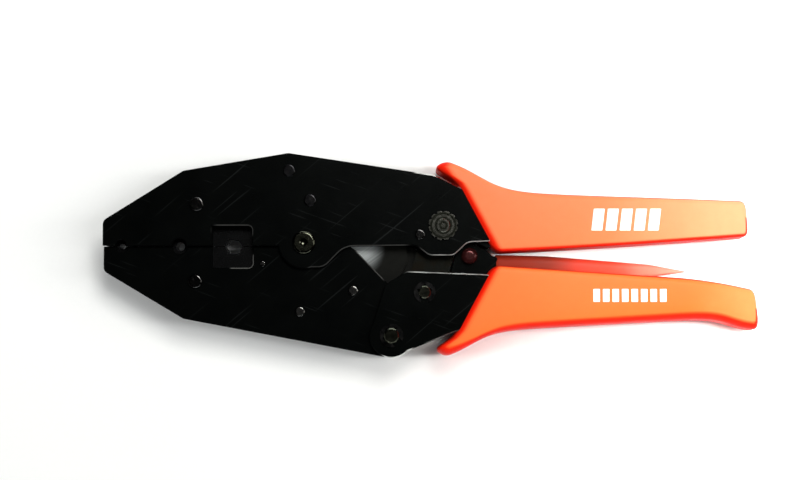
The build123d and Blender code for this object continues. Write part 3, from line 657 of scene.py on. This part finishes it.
def carry_section(rails, nose, tail, thickness, corner, lip=3.2, end=2.0, lug=None, swell=0.25):
    """Grip surface: a station joins one rail to the other, the section's y runs along that join and its
    z across it. Near the front each point moves forward by the lug's curve, and the walls are a little
    fuller in the middle and carry the mould's parting ridge."""
    (x0, y0), (x1, y1) = rails
    length = (tail[0] + tail[1] - nose[0] - nose[1]) / 2
    share, pull, size = stations(length, lip, end)
    a, b, c, d = (v[None, :] for v in SECTION)
    low_x, high_x = (np.asarray(f(share)) for f in (x0, x1))
    low = np.stack([low_x, y0(low_x)], -1)
    high = np.stack([high_x, y1(high_x)], -1)
    centre, half = (low + high) / 2, (high - low) / 2
    width = np.linalg.norm(half, axis=1)
    w = ((width - pull) * size)[:, None]
    h = ((thickness(share) - pull) * size)[:, None]
    low_r, high_r = corner
    r = (low_r + high_r) / 2 + a * (high_r - low_r) / 2
    r = np.minimum(r * size[:, None], 0.9 * np.minimum(w, h))
    y = a * (w - r) + b * r
    z = (c * (h - r) + d * r) * (1 - 0.018 * (a * c) ** 2)
    wall = np.clip(1 - np.abs(z) / h, 0, 1)
    ridge = 0.16 * np.exp(-((z / 0.45) ** 2))
    y = y + np.sign(y) * (np.abs(b) > 0.7) * (swell * wall + ridge) * size[:, None]
    across = y / width[:, None]
    x = centre[:, None, 0] + half[:, None, 0] * across
    yy = centre[:, None, 1] + half[:, None, 1] * across
    if lug is not None:
        x = x - lug((across + 1) / 2) * np.exp(-((share * length / 7.0) ** 2))[:, None]
    drop = thickness(share)[:, None] - np.abs(z)
    rings = np.stack([x, yy, z], -1)
    # Painted shade: 1 where the walls and the rolled front lip turn away from the light, with a narrower
    # band on the a > 0 edge, which the light catches.
    wall_shade = smooth((drop - np.where(a > 0, 0.90, 0.27)) / 0.32)
    front_shade = smooth((3.9 - share * length) / 2.2)[:, None]
    return rings, np.maximum(wall_shade, front_shade)


def grip_thickness(share):
    """Half thickness in millimetres: full as far as the end of the tang, then a little thinner."""
    late = np.clip((share - 0.74) / 0.26, 0, 1)
    return 11.45 - 0.35 * share - 1.1 * late * late * (3 - 2 * late)


print("half thickness along a grip", grip_thickness(np.linspace(0, 1, 5)).round(2))

# %% [markdown]
# ## Upper grip
#
# The upper grip covers the tang of the fixed frame. Its bottom edge is almost
# straight; its top edge falls in a long curve from the lug.

# %% Upper grip
def upper_bottom(x):
    """Bottom edge: a line that rises slightly, plus a small square term."""
    return -1.9 + 0.0455 * (x - 139.7) + 0.0002 * (x - 139.7) ** 2


def upper_top(x):
    """Top edge: a falling line, plus a smooth step up to the lug at the front."""
    return 17.9 - 0.034 * (x - 160) + 12.6 * sigmoid(-(x - 130) / 5.6)


def upper_lug(v):
    """How far the lug stands forward at v, 0 at the bottom edge and 1 at the top: a bell near 1."""
    return 4.3 * np.exp(-(((v - 0.905) / 0.085) ** 2))


upper_rails = (
    (lambda t: 136.6 + 88.9 * t, upper_bottom),
    (lambda t: 119.4 + 105.2 * t, upper_top),
)
upper_front, upper_tail = (136.6, 119.4), (225.5, 224.6)
rings, wall_and_lip_shade = carry_section(
    upper_rails, upper_front, upper_tail, grip_thickness, (1.9, 1.9), lug=upper_lug
)
upper_part = closed_tube(rings)
# Painted shade on the walls and lip, carried on the mesh as its lip value.
wall_and_lip_shade_points = np.concatenate([wall_and_lip_shade.ravel(), [1.0, 1.0]])
upper_grip = make_piece("grip_upper", [upper_part], upper_plastic, {"lip": wall_and_lip_shade_points})
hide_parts("upper_grip")
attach(upper_grip, "frame")
UPPER_FACE = rings

# %% [markdown]
# ## Lower grip
#
# The lower grip covers the tang of the moving handle and flares at its tail, where
# the little finger rests. Inside, between the two handles, a fin at mid thickness
# tapers to a point: it fills the gap so that skin isn't pinched.

# %% Lower grip
def lower_inner(x):
    """Inner edge: a falling line that bends down beyond 200 millimetres."""
    return -7.1 - 0.068 * (x - 140) - 2.2 * (np.clip(x - 200, 0, None) / 26) ** 2


def lower_outer(x):
    """Outer edge: a line, a smooth step down to the lug, and another down to the flared tail."""
    return -28.1 + 0.055 * (x - 155) - 9.6 * sigmoid(-(x - 128.5) / 4.6) - 5.3 * sigmoid((x - 219.5) / 3.6)


def lower_lug(v):
    """How far the lug stands forward at v, 0 at the outer edge and 1 at the inner: a bell near 0."""
    return 3.6 * np.exp(-(((v - 0.095) / 0.085) ** 2))


lower_rails = (
    (lambda t: 119.0 + 110.0 * t, lower_outer),
    (lambda t: 135.9 + 91.6 * t, lower_inner),
)
lower_front, lower_tail = (119.0, 135.9), (229.0, 227.5)
rings, wall_and_lip_shade = carry_section(
    lower_rails, lower_front, lower_tail, grip_thickness, (3.6, 1.9), lug=lower_lug, swell=0.4
)
lower_part = closed_tube(rings)
# Painted shade on the walls and lip, carried on the mesh as its lip value.
wall_and_lip_shade_points = np.concatenate([wall_and_lip_shade.ravel(), [1.0, 1.0]])
lower_grip = make_piece("grip_lower", [lower_part], lower_plastic, {"lip": wall_and_lip_shade_points})
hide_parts("lower_grip")
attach(lower_grip, "handle")
LOWER_FACE = rings

# %% [markdown]
# The fin is the same kind of grid: an oval section between two edges, thinner and
# narrower towards its free point.

# %% Fin between the handles
fin_front = 136.6 + 0.9 * (1 - np.cos(np.linspace(0, np.pi / 2, 6)))
fin_tip = 204.2 - 0.6 * (1 - np.sin(np.linspace(0.3, 1.5, 5)))
FIN_X = np.concatenate([fin_front, np.linspace(138, 203.6, 56), fin_tip])
FIN_SIDES = 48
top_edge = np.interp(FIN_X, [136.6, 155.0, 173.6, 191.7, 204.2], [-2.7, -3.2, -4.7, -6.2, -8.5])
low_edge = np.interp(FIN_X, [136.6, 180.0, 191.7, 204.2], [-10.5, -11.5, -10.7, -8.9])
front_pull = 1.6 * (1 - np.sin(np.clip((FIN_X - 136.6) / 1.4, 0, 1) * np.pi / 2))
fin_half_y = (top_edge - low_edge) / 2 - front_pull
fin_half_z = np.interp(FIN_X, [136.6, 160.0, 191.7, 204.2], [4.6, 4.2, 3.0, 0.8]) - front_pull
around = np.linspace(0, 2 * np.pi, FIN_SIDES, endpoint=False)
round_y = np.sign(np.cos(around)) * np.abs(np.cos(around)) ** 0.6
round_z = np.sign(np.sin(around)) * np.abs(np.sin(around)) ** 0.6
fin_rings = np.stack(
    [
        np.repeat(FIN_X[:, None], FIN_SIDES, 1),
        ((top_edge + low_edge) / 2)[:, None] + fin_half_y[:, None] * round_y,
        fin_half_z[:, None] * round_z,
    ],
    -1,
)
fin_part = closed_tube(fin_rings)
fin_along = fin_part[0][:, 0]
# Painted shade along the fin: deep red towards its front, and dark brown near the pivot, where the upper
# grip shades it.
fin_front_shade = 1 - smooth((fin_along - 140.0) / 32.0)
fin_pivot_shade = 0.80 * smooth((178.0 - fin_along) / 24.0)
fin_values = {"lip": fin_front_shade, "painted_shade": fin_pivot_shade}
fin = make_piece("grip_lower_fin", [fin_part], fin_plastic, fin_values)
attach(fin, "handle")

# %% [markdown]
# ## Printed marks
#
# Each grip carries a white printed mark. Here it is only a plain row of bars. The ink
# is a film a few hundredths of a millimetre thick, so each bar is a small pillow laid
# on the grip's face, whose height at any point is read from the face's own grid.

# %% Printed bars
def face_height(rings, x):
    """Height of a grip's upper face at x: the highest flat point of each ring, joined by straight lines."""
    flat = rings[:, ARC_POINTS : ARC_POINTS + FLAT_POINTS]
    along = flat[..., 0].mean(1)
    order = np.argsort(along)
    return np.interp(x, along[order], flat[..., 2].max(1)[order])


def printed_bar(rings, x0, x1, y0, y1, slant):
    """A bar as rings that shrink to its middle: each is a rounded rectangle, sheared by slant."""
    a, b, c, d = SECTION
    w, h, r = (x1 - x0) / 2, (y1 - y0) / 2, 0.22
    u, v = a * (w - r) + b * r, c * (h - r) + d * r
    layers = []
    for size, lift in ((0.02, -0.15), (1.0, -0.15), (1.0, 0.02), (0.985, 0.04), (0.02, 0.04)):
        x = (x0 + x1) / 2 + u * size + slant * v * size
        y = (y0 + y1) / 2 + v * size
        layers.append(np.stack([x, y, face_height(rings, x) + lift], -1))
    return closed_tube(np.stack(layers))


def ink(name):
    """Slightly worn white ink: pin holes where it missed the grain."""
    material, tree, shader = new_finish(name)
    place = millimetres(tree)
    missed = spread(tree, noise(tree, place, 0.5, 3.0, 0.7), 0.64, 0.72)
    colour = blend_colour(tree, missed, (0.90, 0.90, 0.88), (0.93, 0.45, 0.28))
    rough = blend_number(tree, noise(tree, place, 3.0), 0.42, 0.60)
    finish_surface(tree, shader, colour, 0.0, rough, raise_surface(tree, noise(tree, place, 0.3), 0.006))
    return material


white_ink = ink("white_ink")
upper_bars = [(170.8 + 4.9 * k, 174.6 + 4.9 * k, 5.3, 12.9) for k in range(5)]
lower_bars = [(170.9 + 3.3 * k, 173.2 + 3.3 * k, -19.5, -15.0) for k in range(8)]
upper_marks = [printed_bar(UPPER_FACE, *bar, 0.12) for bar in upper_bars]
lower_marks = [printed_bar(LOWER_FACE, *bar, 0.0) for bar in lower_bars]
upper_print = make_piece("print_upper", upper_marks, white_ink)
lower_print = make_piece("print_lower", lower_marks, white_ink)
for piece, body in ((upper_print, "frame"), (lower_print, "handle")):
    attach(piece, body)

# %% [markdown]
# ## Springs
#
# The main spring is a torsion spring wound round the main pin; its two legs push the frame and the jaw
# apart. The small one is an extension spring that pulls the pawl's tail. Each is a round wire carried along
# a helix. Their ends ride on different bodies.

# %% Wire along a path
def wire_tube(path, radius, across, sides=12):
    """Rings round a path: at each point the circle lies in the plane of n = path direction x across
    and m = n x direction, both made unit length."""
    path = np.asarray(path, float)
    along = np.gradient(path, axis=0)
    along /= np.linalg.norm(along, axis=1, keepdims=True)
    n = np.cross(along, np.asarray(across, float))
    n /= np.linalg.norm(n, axis=1, keepdims=True)
    m = np.cross(n, along)
    turn = np.linspace(0, 2 * np.pi, sides, endpoint=False)
    circle = n[:, None] * np.cos(turn)[None, :, None] + m[:, None] * np.sin(turn)[None, :, None]
    return closed_tube(path[:, None] + radius * circle)


# %% Main spring
MAIN_AXIS = np.array([*axis_of("main_pivot_pin"), 0.0])
COIL_R, COIL_HALF, COIL_TURNS, LEG, SPLAY = 5.6, 3.3, 6, 9.2, np.radians(14)
turn = np.pi - np.linspace(0, 2 * np.pi * COIL_TURNS, COIL_TURNS * 40 + 1)
rise = np.linspace(-COIL_HALF, COIL_HALF, len(turn))
helix = MAIN_AXIS + np.stack([COIL_R * np.cos(turn), COIL_R * np.sin(turn), rise], -1)
reach = np.linspace(LEG, 0.7, 12)[:, None]
jaw_leg = helix[0] + reach * np.array([-np.sin(SPLAY), -np.cos(SPLAY), 0.0])
frame_leg = helix[-1] + reach[::-1] * np.array([-np.sin(SPLAY), np.cos(SPLAY), 0.0])
main_path = np.concatenate([jaw_leg, helix, frame_leg])
main_spring = make_piece("spring_main", [wire_tube(main_path, 0.5, (0, 0, 1))], wire_finish)
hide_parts("main_spring")
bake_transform(main_spring)

# %% Pawl spring
PAWL = np.array([*axis_of("pawl_pin"), 0.0])
ANCHOR = np.array([*axis_of("spring_anchor_pin"), 0.0])
pull = (ANCHOR - PAWL) / np.linalg.norm(ANCHOR - PAWL)
side = np.array([-pull[1], pull[0], 0.0])
up = np.array([0.0, 0.0, 1.0])
span = np.linalg.norm(ANCHOR - PAWL)
TAIL_AT, HOOK_R, SMALL_R, SMALL_WIRE, SMALL_TURNS, SMALL_STEP = 5.4, 2.0, 1.3, 0.26, 16, 0.52
coil_start = TAIL_AT + 2 * HOOK_R
coil_end = coil_start + (SMALL_TURNS - 1) * SMALL_STEP
ANCHOR_R, HOOK_GAP = 1.5, 0.04
anchor_hook = ANCHOR_R + SMALL_WIRE + HOOK_GAP


def on_spring(along, sideways, height):
    """A point from its distance along the pull, sideways from it and above mid thickness."""
    return PAWL + np.outer(along, pull) + np.outer(sideways, side) + np.outer(height, up)


turn = np.linspace(0, 2 * np.pi * SMALL_TURNS, SMALL_TURNS * 24 + 1)
small_run = np.linspace(coil_start, coil_end, len(turn))
small_helix = on_spring(small_run, SMALL_R * np.cos(turn), SMALL_R * np.sin(turn))
ring = np.linspace(0, 2 * np.pi, 41)
tail_ring = on_spring(TAIL_AT + HOOK_R + HOOK_R * np.cos(ring), 0 * ring, HOOK_R * np.sin(ring))
hook_ring = on_spring(span + anchor_hook * np.cos(ring), anchor_hook * np.sin(ring), 0 * ring)
lead = on_spring(np.linspace(coil_end, span - anchor_hook, 8), np.zeros(8), np.zeros(8))
bridge = np.linspace(-SMALL_R, SMALL_R, 8)
cross_start = on_spring(np.full(8, coil_start), 0 * bridge, bridge)
cross_end = on_spring(np.full(8, coil_end), bridge, 0 * bridge)
small_parts = [
    wire_tube(small_helix, SMALL_WIRE, pull),
    wire_tube(tail_ring, SMALL_WIRE, side),
    wire_tube(hook_ring, SMALL_WIRE, up),
    wire_tube(lead, SMALL_WIRE, up),
    wire_tube(cross_start, SMALL_WIRE, side),
    wire_tube(cross_end, SMALL_WIRE, up),
]
pawl_spring = make_piece("spring_pawl", small_parts, wire_finish)
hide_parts("pawl_spring")
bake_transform(pawl_spring)

# %% [markdown]
# ## Give every steel part its finish
#
# Each part keeps its shape and only gets a better material in its own slots.

# %% Assign the finishes
FINISH_OF = {
    "frame_plate_near": frame_finish, "frame_plate_far": frame_finish,
    "handle_plate_near": handle_finish, "handle_plate_far": handle_finish,
    "jaw_plate_near": jaw_finish, "jaw_plate_far": jaw_finish,
    "frame_liner_near": packing_finish, "frame_liner_far": packing_finish,
    "frame_core": packing_finish, "handle_core": packing_finish,
    "frame_tang_spacers": packing_finish, "handle_end_spacer": packing_finish,
    "jaw_core": core_finish, "upper_die": die_finish, "lower_die": die_finish,
    "ratchet_sector": ratchet_finish, "pawl": ratchet_finish,
    "link_near": link_finish, "link_far": link_finish,
    "adjuster_clip": clip_finish, "handle_pivot_clip": clip_finish, "link_pin_clip": clip_finish,
}
FINISH_OF.update(pin_finishes)
replaced = {"upper_grip", "lower_grip", "main_spring", "pawl_spring"}
for name, node in nodes.items():
    if name in replaced:
        continue
    for slot in node.material_slots:
        slot.material = FINISH_OF[name]
left_over = sorted(set(nodes) - replaced - set(FINISH_OF))
print("parts finished", len(nodes) - len(replaced), "without one", left_over)

# %% [markdown]
# ## Floor and light
#
# The tool lies on plain white paper under soft lamps. A broad lamp up and to the back
# is the key, and a weaker one fills from the right. Two long, low lamps are there for
# the bevels: a flat face seen from above mirrors the dark ceiling and stays black, but
# a 45 degree rim mirrors what is level with it, so a low lamp draws each rim as a thin
# bright line.
#
# Two overhead strips, one to the right and one to the left, lift the paper to white.
# They stand well to either side, so no light falls straight down through the nests
# and the window and shows the paper under them. A very small lamp with a narrow spread
# lightens the tails of the grips. The strips, the tail lamp and the sky can't be seen
# in a reflection, so the flats stay dark.

# %% Paper
def paper(name):
    """White with a faint fibre texture."""
    material, tree, shader = new_finish(name)
    fibre = noise(tree, millimetres(tree), 1.2, 3.0)
    colour = blend_colour(tree, fibre, (0.92, 0.93, 0.92), (0.95, 0.96, 0.95))
    finish_surface(tree, shader, colour, 0.0, 0.9, raise_surface(tree, fibre, 0.01))
    shader.inputs["Specular IOR Level"].default_value = 0.2
    return material


PAPER_HALF = 1.6
sheet_points = [(x * PAPER_HALF, y * PAPER_HALF, 0) for x, y in ((-1, -1), (1, -1), (1, 1), (-1, 1))]
paper_mesh = bpy.data.meshes.new("paper")
paper_mesh.from_pydata(sheet_points, [], [(0, 1, 2, 3)])
paper_mesh.materials.append(paper("white_paper"))
paper_sheet = bpy.data.objects.new("paper", paper_mesh)
scene.collection.objects.link(paper_sheet)


# %% Lamps
def lamp(name, place, aim, size, power, colour=(1, 1, 1)):
    """A rectangular lamp at a place, turned so that its light goes towards aim."""
    data = bpy.data.lights.new(name, "AREA")
    data.shape = "RECTANGLE"
    data.size, data.size_y = size
    data.energy = power
    data.color = colour
    body = bpy.data.objects.new(name, data)
    body.location = place
    body.rotation_euler = (Vector(aim) - Vector(place)).to_track_quat("-Z", "Y").to_euler()
    scene.collection.objects.link(body)
    return body


lamp("key", (0.14, 0.36, 0.90), (0.0, 0.0, 0.0), (0.34, 0.34), 5.0, (1.0, 0.99, 0.96))
lamp("right", (0.60, 0.02, 0.42), (0.11, 0.0, 0.0), (0.25, 0.25), 1.0, (1.0, 0.97, 0.92))
lamp("low_front", (0.05, -0.55, 0.10), (0.0, 0.0, 0.02), (0.7, 0.08), 0.8, (0.96, 0.99, 1.0))
lamp("low_back", (0.05, 0.60, 0.07), (0.0, 0.0, 0.02), (0.7, 0.08), 1.1, (0.95, 1.0, 1.0))
overhead_right = lamp("overhead_right", (0.90, 0.0, 1.2), (0.90, 0.0, 0.0), (1.20, 0.14), 8.5)
overhead_left = lamp("overhead_left", (-1.03, 0.0, 1.2), (-1.03, 0.0, 0.0), (1.15, 0.14), 8.1)
tail_lamp = lamp("tail", (0.125, 0.0, 0.42), (0.125, 0.0, 0.0), (0.10, 0.05), 0.08, (1.0, 0.98, 0.94))
tail_lamp.data.spread = np.radians(36)
for body in (overhead_right, overhead_left, tail_lamp):
    body.visible_glossy = False

world = bpy.data.worlds.new("studio")
world.use_nodes = True
world.node_tree.nodes["Background"].inputs["Color"].default_value = (0.92, 0.95, 0.96, 1.0)
world.node_tree.nodes["Background"].inputs["Strength"].default_value = 0.09
world.cycles_visibility.glossy = False
scene.world = world
